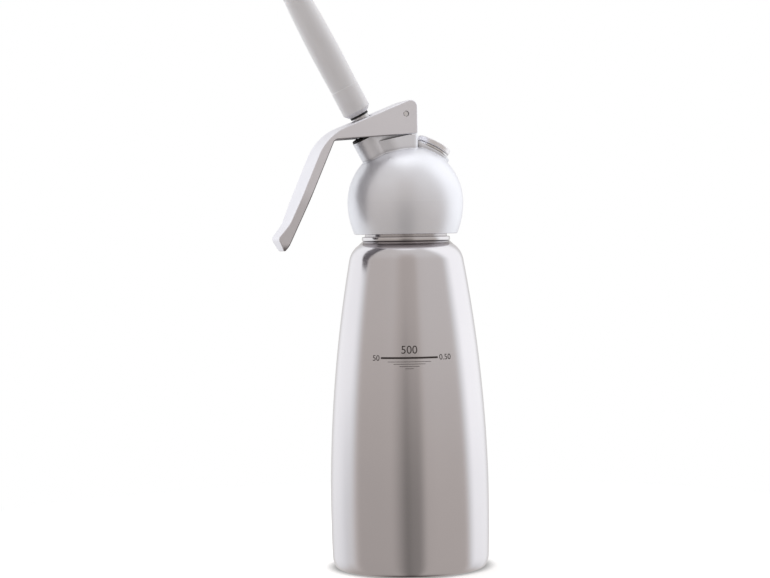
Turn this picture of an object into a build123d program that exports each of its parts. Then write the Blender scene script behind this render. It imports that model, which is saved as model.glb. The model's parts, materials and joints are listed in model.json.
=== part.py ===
import os
from math import acos, asin, atan2, cos, degrees, pi, radians, sin, sqrt, tan

from build123d import *

# Cream whipper in millimetres: +Z up, origin at the centre of the foot, lever and nozzle towards -X.

# Bottle
bottle_radius = 41.1
bottle_widest_height = 31.0
bottle_wall = 0.9
foot_corner_radius = 2.2
foot_dish_radius = 28.0
foot_dish_depth = 0.8
shoulder_height = 159.3
shoulder_radius = 29.6
shoulder_round = 12.0
neck_radius = 20.4
neck_length = 19.1

# Neck ring
neck_ring_wall = 1.6
neck_bead_width = 0.9
neck_bead_height = 1.7
neck_bead_drop = 1.0

# Head
head_radius = 30.0
head_rim_radius = 26.6
head_rim_round = 0.8
visible_neck = 3.6
center_below_shelf = 1.0
thread_clearance = 0.3
gasket_thickness = 2.0
gasket_width = 3.2
saddle_half_width = 9.8
saddle_blend = 0.8
crease_margin = 0.05
saddle_foot_half_width = 12.3
saddle_foot_front = 5.0
saddle_foot_toe = 7.7
saddle_foot_round = 14.0
saddle_toe_round = 1.5
saddle_back_reach = 6.8
saddle_back_round = 3.0
shoulder_clearance = 0.3
lug_radius = 3.6
saddle_back_drop = 11.5

# Nozzle boss and valve, measured along the nozzle axis
nozzle_tilt = 28.3
boss_rise = 9.4
seat_depth = 1.3
seat_radius = 8.2
valve_bore_radius = 6.0
valve_bore_length = 5.0
guide_radius = 7.0
guide_length = 7.0
running_clearance = 0.05
pocket_clearance = 0.25
stem_radius = 4.5
stem_bore_radius = 2.75
stem_hole_radius = 1.6
seal_radius = 7.0
seal_thickness = 2.5
seal_spigot_radius = 3.0
screw_radius = 2.0
screw_grip = 3.6
screw_head_radius = 5.4
screw_head_height = 1.9
screw_slot_width = 1.0
screw_slot_depth = 0.9
oring_section = 1.8
dust_ring_thickness = 1.0
dust_ring_edge = 0.2

# Rocker flange on the stem and its spring
flange_radius = 7.2
flange_thickness = 2.3
flange_fall = 0.75
lever_touch_gap = 0.35
spring_wire = 1.2
spring_mean_radius = 5.8
spring_turns = 4
spring_seat_gap = 0.05

# Nozzle
nozzle_lift = 2.7
washer_thickness = 1.2
washer_radius = 4.9
spigot_radius = 3.5
spigot_length = 7.6
nozzle_thread_clearance = 0.1
collar_radius = 7.35
collar_length = 15.6
collar_chamfer = 2.2
collar_step = 0.2
nozzle_barrel_radius = 7.5
nozzle_barrel_station = 34.4
nozzle_tip_radius = 6.15
nozzle_length = 75.0
nozzle_tip_round = 1.2
nozzle_bore_radius = 4.4
nozzle_slot_count = 8
nozzle_slot_width = 1.5
nozzle_slot_length = 6.8

# Lever and hinge pin
pin_offset = -2.5
pin_rise = 15.1
pin_radius = 1.5
pin_end_radius = 1.1
pin_end_length = 1.3
pin_recess = 0.2
lever_stroke = 8.0
lever_sheet = 1.9
cheek_clearance = 0.3
plate_back = 6.2
plate_drop = 10.5
plate_slope = 4.0
plate_corner_radius = 3.5
plate_foot_radius = 0.8
web_offset = 5.94
web_slope = 22.2
web_length = 42.7
web_hole_radius = 5.8
bend_radius = 28.0
handle_slope = 66.4
handle_length = 49.1
handle_depth = 4.7
inner_bend_radius = 3.0
flare_slope = 51.0
flare_length = 9.4
flare_radius = 14.0
flare_inner_slope = 55.0
tip_slope = -63.0
tip_depth = 8.3
tip_back_round = 2.5
tip_inner_round = 1.0
tip_block = 4.0
taper_length = 27.0
taper_round = 40.0
tip_half_width = 6.6
tip_plan_round = 6.3
lever_edge_round = 0.7

# Gas inlet, measured along the inlet axis
inlet_tilt = 28.3
inlet_boss_radius = 10.6
inlet_boss_drop = 0.1
insert_radius = 7.0
insert_length = 9.4
insert_flange_radius = 8.9
insert_flange_thickness = 0.9
inlet_seal_thickness = 0.7
inlet_seal_width = 1.7
charger_bore_radius = 5.0
charger_bore_depth = 8.0
nose_radius = 4.0
nose_length = 4.0
gas_hole_radius = 0.5
gas_port_inset = 1.5
pierce_radius = 1.2
pierce_length = 4.9
pierce_grip = 2.0
pierce_point = 1.3
sleeve_wall = 1.2
sleeve_length = 4.9
cap_radius = 9.2
cap_edge = 2.8
cap_dome = 1.0
cap_edge_round = 0.7
cap_lift = 0.2
cap_gasket_thickness = 0.8
cap_gasket_width = 2.45
cap_shank_length = 5.2
cap_shank_bore = 3.2
cap_shank_bore_depth = 4.0
cap_thread_clearance = 0.1

# Heights that follow from the bottle and the head
bottle_curve = ((shoulder_height - bottle_widest_height) ** 2 + (bottle_radius - shoulder_radius) ** 2) / (
    2 * (bottle_radius - shoulder_radius)
)
bottle_curve_x = bottle_radius - bottle_curve
foot_round_x = bottle_curve_x + sqrt(
    (bottle_curve - foot_corner_radius) ** 2 - (bottle_widest_height - foot_corner_radius) ** 2
)
shoulder_angle = asin((shoulder_height - bottle_widest_height) / bottle_curve)
shoulder_x = bottle_curve_x + (bottle_curve - shoulder_round) * cos(shoulder_angle)
shoulder_z = bottle_widest_height + (bottle_curve - shoulder_round) * sin(shoulder_angle)
neck_foot_height = shoulder_z + sqrt(shoulder_round**2 - (neck_radius - shoulder_x) ** 2)
rim_height = neck_foot_height + neck_length
neck_ring_radius = neck_radius + neck_ring_wall
shelf_height = rim_height + gasket_thickness
center_height = shelf_height - center_below_shelf
head_rim_height = neck_foot_height + visible_neck
gasket_inner_radius = neck_ring_radius - gasket_width
cavity_radius = gasket_inner_radius

# Planes with their Z along the nozzle and the gas inlet, both from the centre of the ball
center = Vector(0, 0, center_height)
nozzle_cos = cos(radians(nozzle_tilt))
nozzle_sin = sin(radians(nozzle_tilt))
inlet_cos = cos(radians(inlet_tilt))
inlet_sin = sin(radians(inlet_tilt))
nozzle_plane = Plane(origin=center, x_dir=(nozzle_cos, 0, nozzle_sin), z_dir=(-nozzle_sin, 0, nozzle_cos))
inlet_plane = Plane(origin=center, x_dir=(inlet_cos, 0, -inlet_sin), z_dir=(inlet_sin, 0, inlet_cos))
nozzle_section = Plane(origin=center, x_dir=nozzle_plane.x_dir, z_dir=(0, -1, 0))
inlet_section = Plane(origin=center, x_dir=inlet_plane.x_dir, z_dir=(0, -1, 0))
nozzle_axis = Axis(center, nozzle_plane.z_dir)
inlet_axis = Axis(center, inlet_plane.z_dir)

# Stations of the lever above the valve
lever_half_width = saddle_half_width + cheek_clearance + lever_sheet
pin_height = center_height + head_radius + pin_rise
pin_across = pin_offset * nozzle_cos + (pin_height - center_height) * nozzle_sin
pin_along = -pin_offset * nozzle_sin + (pin_height - center_height) * nozzle_cos
web_lean = radians(web_slope - nozzle_tilt)


def web_station(depth):
    """Station where a line in the web, a depth below its top face, crosses the nozzle axis."""
    return pin_along + (web_offset - depth - pin_across * sin(web_lean)) / cos(web_lean)


# Stations of the valve along the nozzle axis
shelf_along = center_below_shelf * nozzle_cos
shelf_across = center_below_shelf * nozzle_sin
cavity_reach = shelf_along + sqrt(cavity_radius**2 - shelf_across**2)
seat_station = cavity_reach + seat_depth
guide_bottom = seat_station + valve_bore_length
guide_top = guide_bottom + guide_length
boss_top = head_radius + boss_rise
flange_top = web_station(lever_sheet) - lever_touch_gap
flange_bottom = flange_top - flange_thickness
spring_pocket_radius = guide_radius + pocket_clearance
stem_top = web_station(0) + nozzle_lift - washer_thickness
nozzle_bottom = stem_top + washer_thickness
spigot_top = nozzle_bottom + spigot_length
nozzle_tip = nozzle_bottom + nozzle_length
valve_per_radian = pin_across

# Stations of the gas inlet along its axis
inlet_face = head_radius - inlet_boss_drop
flange_seat = inlet_face + inlet_seal_thickness
insert_face = flange_seat + insert_flange_thickness
charger_floor = insert_face - charger_bore_depth
insert_end = flange_seat - insert_length - inlet_seal_thickness
nose_end = insert_end - nose_length
cap_bottom = insert_face + cap_lift
cap_edge_top = cap_bottom + cap_edge
cap_gasket_top = insert_face + cap_gasket_thickness
cap_shank_radius = charger_bore_radius - cap_thread_clearance


def tube(plane, bottom, top, outer, inner=0.0, mode=Mode.ADD):
    """Round wall, or a plain round bar, between two stations of a plane's own axis."""
    with BuildSketch(plane.offset(bottom)) as ring:
        Circle(outer)
        if inner > 0:
            Circle(inner, mode=Mode.SUBTRACT)
    extrude(ring.sketch, amount=top - bottom, mode=mode)


def bottle_face(inset, floor, top):
    """Half section of the bottle, set in from its outside, from a flat floor to a flat top."""
    corner = foot_corner_radius - inset
    floor_x = foot_round_x + sqrt(corner**2 - (foot_corner_radius - floor) ** 2)
    floor_angle = degrees(atan2(floor - foot_corner_radius, floor_x - foot_round_x))
    body_angle = degrees(atan2(foot_corner_radius - bottle_widest_height, foot_round_x - bottle_curve_x))
    top_angle = degrees(shoulder_angle)
    neck_x = neck_radius - inset
    neck_angle = degrees(acos((neck_x - shoulder_x) / (shoulder_round - inset)))
    body_center = (bottle_curve_x, bottle_widest_height)
    with BuildSketch(Plane.XZ) as face:
        with BuildLine():
            Line((0, floor), (floor_x, floor))
            CenterArc((foot_round_x, foot_corner_radius), corner, floor_angle, body_angle - floor_angle)
            CenterArc(body_center, bottle_curve - inset, body_angle, top_angle - body_angle)
            shoulder = CenterArc(
                (shoulder_x, shoulder_z), shoulder_round - inset, top_angle, neck_angle - top_angle
            )
            Polyline(shoulder @ 1, (neck_x, top), (0, top), (0, floor))
        make_face()
    return face.sketch


# Drawn steel bottle with a dished foot
dish_curve = (foot_dish_radius**2 + foot_dish_depth**2) / (2 * foot_dish_depth)
dish_angle = degrees(asin(foot_dish_radius / dish_curve))
with BuildPart() as bottle_shell:
    with BuildSketch(Plane.XZ):
        add(bottle_face(0, 0, rim_height))
        add(bottle_face(bottle_wall, foot_dish_depth + bottle_wall, rim_height), mode=Mode.SUBTRACT)
        with BuildLine():
            Line((0, 0), (foot_dish_radius, 0))
            CenterArc((0, foot_dish_depth - dish_curve), dish_curve, 90 - dish_angle, dish_angle)
            Line((0, foot_dish_depth), (0, 0))
        make_face(mode=Mode.SUBTRACT)
    revolve(axis=Axis.Z)
bottle_shell.part.label = "bottle_shell"

# Threaded ring round the neck tube, with a stop bead just under the head
neck_bead_top = head_rim_height - neck_bead_drop
with BuildPart() as neck_ring:
    tube(Plane.XY, neck_foot_height, rim_height, neck_ring_radius, neck_radius)
    tube(
        Plane.XY,
        neck_bead_top - neck_bead_height,
        neck_bead_top,
        neck_ring_radius + neck_bead_width,
        neck_radius,
    )
neck_ring.part.label = "neck_ring"

# Flat rubber seal on the bottle's rim
with BuildPart() as head_gasket:
    tube(Plane.XY, rim_height, shelf_height, neck_ring_radius, gasket_inner_radius)
head_gasket.part.label = "head_gasket"

def direction(slope):
    """Unit vector in the lever's side view, up and to the right for a slope between 0 and 90."""
    return Vector(cos(radians(slope)), sin(radians(slope)))


def meeting(start, start_slope, end, end_slope):
    """Point where two lines of the lever's side view meet."""
    u = direction(start_slope)
    v = direction(end_slope)
    gap = end - start
    return start + u * ((gap.X * v.Y - gap.Y * v.X) / (u.X * v.Y - u.Y * v.X))


# Foot of the saddle, flush with the lever. Its shoulder follows the plates' lower edge, at rest behind the
# pin and pressed in front of it.
saddle_root = head_radius / 2
pin_point = Vector(pin_offset, pin_height)
saddle_back = pin_offset + saddle_back_reach
shoulder_depth = plate_drop * cos(radians(plate_slope)) + shoulder_clearance
pressed_slope = plate_slope + lever_stroke
shoulder_rest = pin_point + direction(plate_slope - 90) * shoulder_depth
shoulder_pressed = pin_point + direction(pressed_slope - 90) * shoulder_depth
shoulder_knee = meeting(shoulder_rest, plate_slope, shoulder_pressed, pressed_slope)
shoulder_back = meeting(shoulder_rest, plate_slope, Vector(saddle_back, pin_height), 90)
shoulder_front = shoulder_pressed - direction(pressed_slope) * head_radius
saddle_toe_half_width = sqrt(saddle_half_width**2 - saddle_foot_toe**2)
with BuildPart() as saddle_foot:
    with BuildSketch(nozzle_plane.offset(saddle_root)) as foot_plan:
        with BuildLine():
            Polyline(
                (-saddle_foot_toe, saddle_toe_half_width),
                (saddle_foot_front, saddle_foot_half_width),
                (head_radius, saddle_foot_half_width),
                (head_radius, -saddle_foot_half_width),
                (saddle_foot_front, -saddle_foot_half_width),
                (-saddle_foot_toe, -saddle_toe_half_width),
                close=True,
            )
        make_face()
        fillet(foot_plan.vertices().group_by(Axis.X)[1], radius=saddle_foot_round)
        Circle(saddle_half_width)
        fillet(foot_plan.vertices().group_by(Axis.X)[0], radius=saddle_toe_round)
    extrude(amount=boss_top - saddle_root)
    with BuildSketch(Plane.XZ):
        with BuildLine():
            Polyline(
                shoulder_front,
                shoulder_knee,
                shoulder_back,
                (saddle_back, center_height),
                (shoulder_front.X, center_height),
                close=True,
            )
        make_face()
    extrude(amount=saddle_foot_half_width, both=True, mode=Mode.INTERSECT)
    fillet(saddle_foot.edges().filter_by(Axis.Z).group_by(Axis.X)[-1], radius=saddle_back_round)

# Ball-shaped head: ball, saddle with the hinge lug, nozzle boss and inlet boss, then the bores
skirt_drop = center_height - head_rim_height
skirt_fall = head_radius - head_rim_radius
skirt_curve = (skirt_drop**2 + skirt_fall**2) / (2 * skirt_fall)
skirt_angle = degrees(asin(skirt_drop / skirt_curve))
socket_radius = neck_ring_radius + thread_clearance
lug_back = pin_offset + lug_radius
inlet_edge_x = inlet_face * inlet_sin - inlet_boss_radius * inlet_cos
inlet_edge_z = center_height + inlet_face * inlet_cos + inlet_boss_radius * inlet_sin
lug_front = pin_offset - lug_radius
lug_front_z = center_height + (boss_top + lug_front * nozzle_sin) / nozzle_cos

# The saddle and the bosses cut the ball in circles smaller than its own equator and seam
ball_crease_limit = head_radius - crease_margin
with BuildPart() as head_dome:
    with BuildSketch(Plane.XZ):
        with BuildLine():
            Line((0, head_rim_height), (head_rim_radius, head_rim_height))
            CenterArc((head_radius - skirt_curve, center_height), skirt_curve, -skirt_angle, skirt_angle)
            CenterArc((0, center_height), head_radius, 0, 90)
            Line((0, center_height + head_radius), (0, head_rim_height))
        make_face()
    revolve(axis=Axis.Z)
    fillet(head_dome.edges().group_by(Axis.Z)[0], radius=head_rim_round)
    with BuildSketch(Plane.XZ):
        with BuildLine():
            Polyline(
                (-saddle_root * nozzle_sin, center_height + saddle_root * nozzle_cos),
                (-boss_top * nozzle_sin, center_height + boss_top * nozzle_cos),
                (lug_front, lug_front_z),
                (lug_front, pin_height),
                (lug_back, pin_height),
                (lug_back, pin_height - saddle_back_drop),
                (inlet_edge_x, inlet_edge_z),
                (inlet_face * inlet_sin, center_height + inlet_face * inlet_cos),
                (saddle_root * inlet_sin, center_height + saddle_root * inlet_cos),
                close=True,
            )
        make_face()
        with Locations((pin_offset, pin_height)):
            Circle(lug_radius)
    extrude(amount=saddle_half_width, both=True)
    add(saddle_foot.part)
    tube(nozzle_plane, saddle_root, boss_top, saddle_half_width)
    tube(inlet_plane, saddle_root, inlet_face, inlet_boss_radius)
    tube(inlet_plane, inlet_face, insert_face, inlet_boss_radius, mode=Mode.SUBTRACT)
    ball_edges = head_dome.faces().filter_by(GeomType.SPHERE).edges()
    ball_creases = ball_edges.filter_by(
        lambda edge: edge.geom_type != GeomType.CIRCLE or edge.radius < ball_crease_limit
    )
    fillet(ball_creases, radius=saddle_blend)
    tube(Plane.XY, head_rim_height, shelf_height, socket_radius, mode=Mode.SUBTRACT)
    with BuildSketch(Plane.XZ):
        with BuildLine():
            Line((0, shelf_height), (cavity_radius, shelf_height))
            CenterArc((0, shelf_height), cavity_radius, 0, 90)
            Line((0, shelf_height + cavity_radius), (0, shelf_height))
        make_face()
    revolve(axis=Axis.Z, mode=Mode.SUBTRACT)
    tube(nozzle_plane, cavity_radius / 2, seat_station, seat_radius, mode=Mode.SUBTRACT)
    tube(nozzle_plane, seat_station, guide_bottom, valve_bore_radius, mode=Mode.SUBTRACT)
    tube(nozzle_plane, guide_bottom, guide_top, guide_radius, mode=Mode.SUBTRACT)
    tube(nozzle_plane, guide_top, boss_top, spring_pocket_radius, mode=Mode.SUBTRACT)
    tube(inlet_plane, cavity_radius / 2, inlet_face, insert_radius, mode=Mode.SUBTRACT)
    with BuildSketch(Plane.XZ):
        with Locations((pin_offset, pin_height)):
            Circle(pin_radius)
    extrude(amount=saddle_half_width, both=True, mode=Mode.SUBTRACT)
head_dome.part.label = "head_dome"

# Hinge pin, pressed into the lug, with turned-down ends a little below the lever's faces
pin_half_length = lever_half_width - pin_recess
with BuildPart() as hinge_pin:
    with BuildSketch(Plane.XZ):
        with Locations((pin_offset, pin_height)):
            Circle(pin_end_radius)
    extrude(amount=pin_half_length, both=True)
    with BuildSketch(Plane.XZ):
        with Locations((pin_offset, pin_height)):
            Circle(pin_radius)
    extrude(amount=pin_half_length - pin_end_length, both=True)
hinge_pin.part.label = "hinge_pin"


def lever_back(inset):
    """Corners of the lever's outer line, from the back of the web to the tip, set in by a wall."""
    pin = Vector(pin_offset, pin_height)
    web_corner = pin + direction(web_slope + 90) * web_offset - direction(web_slope) * web_length
    flare_corner = web_corner - direction(handle_slope) * handle_length
    web_point = web_corner - direction(web_slope + 90) * inset
    handle_point = web_corner - direction(handle_slope + 90) * inset
    flare_point = flare_corner - direction(flare_slope + 90) * inset
    back = meeting(web_point, web_slope, Vector(pin_offset + plate_back, pin_height), 90)
    bend = meeting(web_point, web_slope, handle_point, handle_slope)
    flare = meeting(handle_point, handle_slope, flare_point, flare_slope)
    return back, bend, flare, flare - direction(flare_slope) * flare_length


# Side view of the lever: web, bend, handle, flared tip and the plates' lower edge
back_corner, bend_corner, flare_corner, tip_corner = lever_back(0)
tip_end = tip_corner + direction(tip_slope) * tip_depth
inner_handle = bend_corner - direction(handle_slope + 90) * handle_depth
inner_flare = meeting(tip_end, flare_inner_slope, inner_handle, handle_slope)
plate_point = Vector(pin_offset, pin_height - plate_drop)
inner_bend = meeting(inner_handle, handle_slope, plate_point, plate_slope)
plate_corner = meeting(plate_point, plate_slope, back_corner, 90)

# Space between the plates, open below and behind and closed at the tip
hollow_back, hollow_bend, hollow_flare, hollow_end = lever_back(lever_sheet)
hollow_tip = hollow_end + direction(flare_slope) * tip_block
hollow_reach = 2 * lever_half_width
hollow_rear = hollow_back + direction(web_slope) * hollow_reach
hollow_mouth = hollow_tip + direction(flare_slope - 90) * hollow_reach
hollow_floor = Vector(hollow_rear.X, hollow_mouth.Y)


def width_face(inset):
    """Front view of the lever, straight at the plates and tapering to a rounded tip, set in by a wall."""
    wide = lever_half_width - inset
    narrow = tip_half_width - inset
    nose = tip_plan_round - inset
    top = back_corner.Y + lever_sheet
    taper_height = tip_end.Y + taper_length
    with BuildSketch(Plane.YZ) as face:
        with BuildLine():
            FilletPolyline(
                (-wide, top),
                (-wide, taper_height),
                (-narrow, tip_end.Y),
                (narrow, tip_end.Y),
                (wide, taper_height),
                (wide, top),
                radius=[taper_round, nose, nose, taper_round],
            )
            Line((wide, top), (-wide, top))
        make_face()
    return face.sketch


lever_span = 4 * web_length
with BuildPart() as lever_hollow:
    with BuildSketch(Plane.XZ):
        with BuildLine():
            FilletPolyline(
                hollow_rear,
                hollow_bend,
                hollow_flare,
                hollow_tip,
                radius=[bend_radius - lever_sheet, flare_radius + lever_sheet],
            )
            Polyline(hollow_tip, hollow_mouth, hollow_floor, hollow_rear)
        make_face()
    extrude(amount=lever_half_width, both=True)
    extrude(width_face(lever_sheet), amount=lever_span, both=True, mode=Mode.INTERSECT)

# Pressed lever: two plates and a web at the hinge, running into the handle
with BuildPart() as lever:
    with BuildSketch(Plane.XZ):
        with BuildLine():
            FilletPolyline(
                plate_corner,
                back_corner,
                bend_corner,
                flare_corner,
                tip_corner,
                tip_end,
                inner_flare,
                inner_bend,
                radius=[
                    plate_foot_radius,
                    plate_corner_radius,
                    bend_radius,
                    flare_radius,
                    tip_back_round,
                    tip_inner_round,
                    flare_radius,
                    inner_bend_radius,
                ],
                close=True,
            )
        make_face()
    extrude(amount=lever_half_width, both=True)
    extrude(width_face(0), amount=lever_span, both=True, mode=Mode.INTERSECT)
    fillet(lever.edges(), radius=lever_edge_round)
    add(lever_hollow.part, mode=Mode.SUBTRACT)
    tube(nozzle_plane, flange_bottom, nozzle_bottom, web_hole_radius, mode=Mode.SUBTRACT)
    with BuildSketch(Plane.XZ):
        with Locations((pin_offset, pin_height)):
            Circle(pin_radius + running_clearance)
    extrude(amount=lever_half_width, both=True, mode=Mode.SUBTRACT)
lever.part.label = "lever"

# Hollow valve stem with the rocker flange that the web presses
stem_hole_station = seat_station + valve_bore_length / 2
stem_hole_plane = Plane(origin=center + nozzle_axis.direction * stem_hole_station, z_dir=(0, 1, 0))
screw_end = seat_station - seal_thickness + screw_grip
with BuildPart() as valve_stem:
    with BuildSketch(nozzle_section):
        with BuildLine():
            Polyline(
                (-flange_radius, flange_bottom),
                (flange_radius, flange_bottom),
                (flange_radius, flange_top - flange_fall),
                (0, flange_top),
                (-flange_radius, flange_top - flange_fall),
                close=True,
            )
        make_face()
    extrude(amount=flange_radius, both=True)
    tube(nozzle_plane, flange_bottom, flange_top, flange_radius, mode=Mode.INTERSECT)
    tube(nozzle_plane, seat_station, stem_top, stem_radius)
    tube(nozzle_plane, seat_station - seal_thickness, seat_station, seal_spigot_radius)
    tube(nozzle_plane, stem_top, spigot_top, spigot_radius)
    tube(nozzle_plane, stem_hole_station, spigot_top, stem_bore_radius, mode=Mode.SUBTRACT)
    tube(nozzle_plane, seat_station - seal_thickness, screw_end, screw_radius, mode=Mode.SUBTRACT)
    with BuildSketch(stem_hole_plane):
        Circle(stem_hole_radius)
    extrude(amount=stem_radius, both=True, mode=Mode.SUBTRACT)
valve_stem.part.label = "valve_stem"

# Rubber disc that closes the seat from inside the head
with BuildPart() as valve_seal:
    tube(nozzle_plane, seat_station - seal_thickness, seat_station, seal_radius, seal_spigot_radius)
valve_seal.part.label = "valve_seal"

# Screw that clamps the disc to the stem
screw_head_top = seat_station - seal_thickness
screw_head_bottom = screw_head_top - screw_head_height
with BuildPart() as valve_seal_screw:
    tube(nozzle_plane, screw_head_bottom, screw_head_top, screw_head_radius)
    tube(nozzle_plane, screw_head_top, screw_end, screw_radius)
    with BuildSketch(nozzle_plane.offset(screw_head_bottom)):
        Rectangle(screw_slot_width, 2 * screw_head_radius)
    extrude(amount=screw_slot_depth, mode=Mode.SUBTRACT)
valve_seal_screw.part.label = "valve_seal_screw"

# Guide bush with the groove of its sealing ring
oring_station = (guide_bottom + guide_top) / 2
oring_inner = stem_radius + running_clearance
oring_outer = oring_inner + oring_section
with BuildPart() as stem_guide:
    tube(nozzle_plane, guide_bottom, guide_top, guide_radius, oring_inner)
    tube(
        nozzle_plane,
        oring_station - oring_section / 2,
        oring_station + oring_section / 2,
        oring_outer,
        mode=Mode.SUBTRACT,
    )
stem_guide.part.label = "stem_guide"

# Sealing ring in the guide bush
with BuildPart() as stem_oring:
    with BuildSketch(nozzle_section):
        with Locations((oring_inner + oring_section / 2, oring_station)):
            Circle(oring_section / 2)
    revolve(axis=nozzle_axis)
stem_oring.part.label = "stem_oring"

# Black rubber ring on top of the nozzle boss
with BuildPart() as dust_ring:
    tube(
        nozzle_plane,
        boss_top,
        boss_top + dust_ring_thickness,
        saddle_half_width - dust_ring_edge,
        spring_pocket_radius,
    )
dust_ring.part.label = "dust_ring"

# Valve spring: one round wire on a helix, each quarter turn drawn as two arcs that run on smoothly
spring_start = guide_top + spring_wire / 2 + spring_seat_gap
spring_end = flange_bottom - spring_wire / 2 - spring_seat_gap
spring_pitch = (spring_end - spring_start) / spring_turns
steps_per_turn = 4


def spring_point(turn):
    """Centre of the wire after a number of turns."""
    angle = 2 * pi * turn
    height = spring_start + spring_pitch * turn
    return nozzle_plane.from_local_coords(
        Vector(spring_mean_radius * cos(angle), spring_mean_radius * sin(angle), height)
    )


def spring_heading(turn):
    """Direction of the wire after a number of turns."""
    angle = 2 * pi * turn
    across = 2 * pi * spring_mean_radius
    around = nozzle_plane.y_dir * cos(angle) - nozzle_plane.x_dir * sin(angle)
    return (around * across + nozzle_plane.z_dir * spring_pitch).normalized()


def arc_middle(start, heading, end):
    """Middle point of the arc that leaves a point in a direction and ends at another point."""
    chord = end - start
    half_turn = radians(heading.get_angle(chord)) / 2
    side = (heading - chord.normalized() * heading.dot(chord.normalized())).normalized()
    return (start + end) * 0.5 + side * (chord.length / 2 * tan(half_turn))


with BuildPart() as valve_spring:
    with BuildLine() as wire_path:
        for step in range(spring_turns * steps_per_turn):
            p = spring_point(step / steps_per_turn)
            q = spring_point((step + 1) / steps_per_turn)
            p_heading = spring_heading(step / steps_per_turn)
            q_heading = spring_heading((step + 1) / steps_per_turn)
            span = q - p
            both = p_heading + q_heading
            spread = 2 * (1 - p_heading.dot(q_heading))
            reach = (sqrt(span.dot(both) ** 2 + spread * span.dot(span)) - span.dot(both)) / spread
            joint = (p + p_heading * reach + q - q_heading * reach) * 0.5
            ThreePointArc(p, arc_middle(p, p_heading, joint), joint)
            ThreePointArc(joint, arc_middle(q, q_heading * -1, joint), q)
    with BuildSketch(Plane(origin=spring_point(0), z_dir=spring_heading(0))):
        Circle(spring_wire / 2)
    sweep(path=wire_path.wires()[0])
valve_spring.part.label = "valve_spring"

# Least gap between one turn of the spring and the next, measured on points along the wire
wire_samples = 48
wire_points = [spring_point(k / wire_samples) for k in range(spring_turns * wire_samples + 1)]
spring_gap = min(
    (wire_points[j] - wire_points[i]).length - spring_wire
    for i in range(len(wire_points))
    for j in range(i + wire_samples // 2, len(wire_points))
)
print("least gap of the spring to itself", round(spring_gap, 3))

# Rubber washer between the stem and the nozzle
with BuildPart() as nozzle_washer:
    tube(nozzle_plane, stem_top, nozzle_bottom, washer_radius, spigot_radius + nozzle_thread_clearance)
nozzle_washer.part.label = "nozzle_washer"

# Moulded nozzle: chamfered collar, slightly barrelled tube and a slotted tip
barrel_middle = nozzle_bottom + nozzle_barrel_station
barrel_run = nozzle_tip - barrel_middle
barrel_fall = nozzle_barrel_radius - nozzle_tip_radius
barrel_curve = (barrel_run**2 + barrel_fall**2) / (2 * barrel_fall)
collar_top = nozzle_bottom + collar_length
barrel_start = nozzle_barrel_radius - barrel_curve + sqrt(barrel_curve**2 - (barrel_middle - collar_top) ** 2)
barrel_tip_angle = asin(barrel_run / barrel_curve)
barrel_start_angle = asin((collar_top - barrel_middle) / barrel_curve)
thread_bore_radius = spigot_radius + nozzle_thread_clearance
thread_bore_top = spigot_top + nozzle_thread_clearance
with BuildPart() as nozzle:
    with BuildSketch(nozzle_section):
        with BuildLine():
            Polyline(
                (thread_bore_radius, nozzle_bottom),
                (collar_radius - collar_chamfer, nozzle_bottom),
                (collar_radius, nozzle_bottom + collar_chamfer),
                (collar_radius, collar_top - collar_step),
                (barrel_start, collar_top),
            )
            CenterArc(
                (nozzle_barrel_radius - barrel_curve, barrel_middle),
                barrel_curve,
                degrees(barrel_start_angle),
                degrees(barrel_tip_angle - barrel_start_angle),
            )
            Polyline(
                (nozzle_tip_radius, nozzle_tip),
                (nozzle_bore_radius, nozzle_tip),
                (nozzle_bore_radius, thread_bore_top),
                (thread_bore_radius, thread_bore_top),
                (thread_bore_radius, nozzle_bottom),
            )
        make_face()
    revolve(axis=nozzle_axis)
    tip_edges = nozzle.edges().group_by(nozzle_axis)[-1].filter_by(GeomType.CIRCLE)
    fillet(tip_edges.sort_by(SortBy.RADIUS)[-1], radius=nozzle_tip_round)
    slot_foot = nozzle_tip - nozzle_slot_length + nozzle_slot_width / 2
    for k in range(nozzle_slot_count):
        turn = radians(360 * k / nozzle_slot_count)
        outwards = nozzle_plane.x_dir * cos(turn) + nozzle_plane.y_dir * sin(turn)
        slot_plane = Plane(origin=center, x_dir=nozzle_plane.z_dir.cross(outwards), z_dir=outwards)
        with BuildSketch(slot_plane.offset(nozzle_bore_radius / 2)):
            with Locations((0, slot_foot)):
                Circle(nozzle_slot_width / 2)
            with Locations((0, slot_foot)):
                Rectangle(nozzle_slot_width, nozzle_slot_length, align=(Align.CENTER, Align.MIN))
        extrude(amount=nozzle_barrel_radius, mode=Mode.SUBTRACT)
nozzle.part.label = "nozzle"

# Steel insert of the gas inlet: flange, charger bore and the nose that carries the check valve
gas_port_station = nose_end + gas_port_inset
gas_port_plane = Plane(origin=center + inlet_axis.direction * gas_port_station, z_dir=(0, 1, 0))
with BuildPart() as inlet_insert:
    tube(inlet_plane, insert_end, flange_seat, insert_radius)
    tube(inlet_plane, flange_seat, insert_face, insert_flange_radius)
    tube(inlet_plane, nose_end, insert_end, nose_radius)
    tube(inlet_plane, charger_floor, insert_face, charger_bore_radius, mode=Mode.SUBTRACT)
    tube(inlet_plane, charger_floor - pierce_grip, charger_floor, pierce_radius, mode=Mode.SUBTRACT)
    tube(inlet_plane, gas_port_station, charger_floor, gas_hole_radius, mode=Mode.SUBTRACT)
    with BuildSketch(gas_port_plane):
        Circle(gas_hole_radius)
    extrude(amount=nose_radius, both=True, mode=Mode.SUBTRACT)
inlet_insert.part.label = "inlet_insert"

# Sealing ring under the insert's flange
with BuildPart() as inlet_seal:
    tube(inlet_plane, inlet_face, flange_seat, insert_radius + inlet_seal_width, insert_radius)
inlet_seal.part.label = "inlet_seal"

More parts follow.
